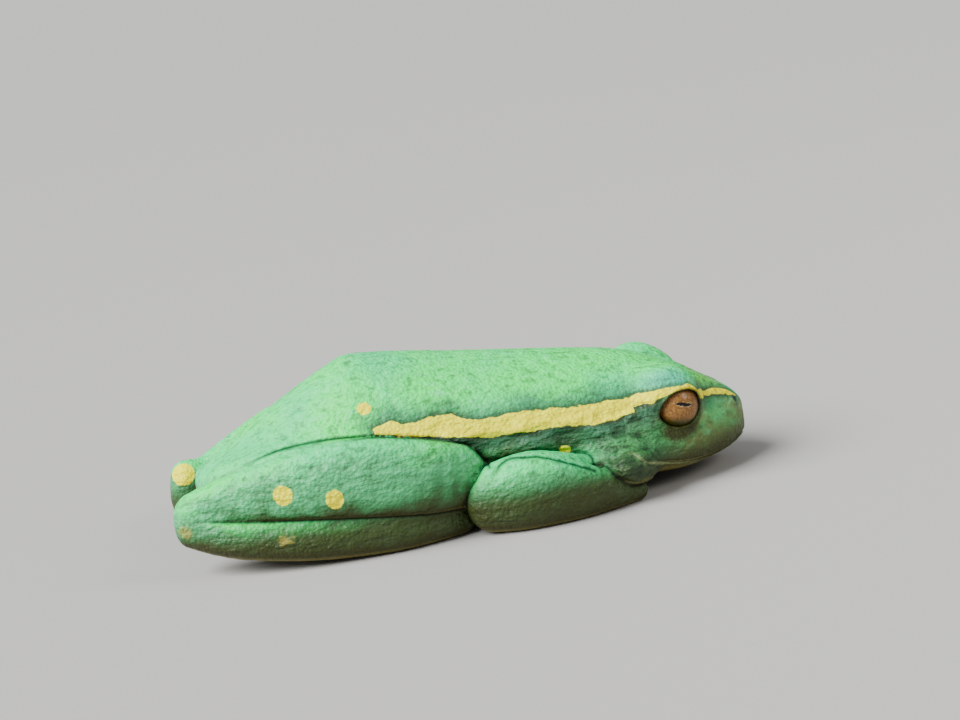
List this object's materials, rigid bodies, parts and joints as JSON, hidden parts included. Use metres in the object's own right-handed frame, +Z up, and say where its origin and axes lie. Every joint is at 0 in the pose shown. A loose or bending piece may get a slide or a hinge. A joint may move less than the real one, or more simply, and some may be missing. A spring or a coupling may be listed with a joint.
{
  "type": "yellow-striped reed frog",
  "caption": "Life-size reed frog crouched with folded limbs, green with a yellow stripe along the side, resting on its belly.",
  "frame": {"origin": "on the floor under the middle of the frog's box, beneath the belly", "axes": "+X forwards to the snout, +Y to the frog's left, +Z up"},
  "size_m": [0.0318, 0.0164, 0.0092],
  "materials": {
    "skin": "satin, finely granular moist skin, green with a yellow stripe",
    "limb_skin": "satin, finely granular moist skin, green with yellow spots",
    "digit_skin": "satin, smooth moist skin, yellowish",
    "throat_skin": "satin, finely wrinkled moist skin, pale olive",
    "eye": "wet gloss, copper iris with a slit pupil"
  },
  "bodies": {
    "root": {"torso": "skin", "head": "skin", "lower_jaw": "throat_skin", "eye_right": "eye", "eye_left": "eye", "upper_arm_right": "limb_skin", "upper_arm_left": "limb_skin", "forearm_right": "limb_skin", "forearm_left": "limb_skin", "hand_right": "digit_skin", "hand_left": "digit_skin", "thigh_right": "limb_skin", "thigh_left": "limb_skin", "shank_right": "limb_skin", "shank_left": "limb_skin", "tarsus_right": "limb_skin", "tarsus_left": "limb_skin", "foot_right": "digit_skin", "foot_left": "digit_skin"}
  },
  "joints": []
}
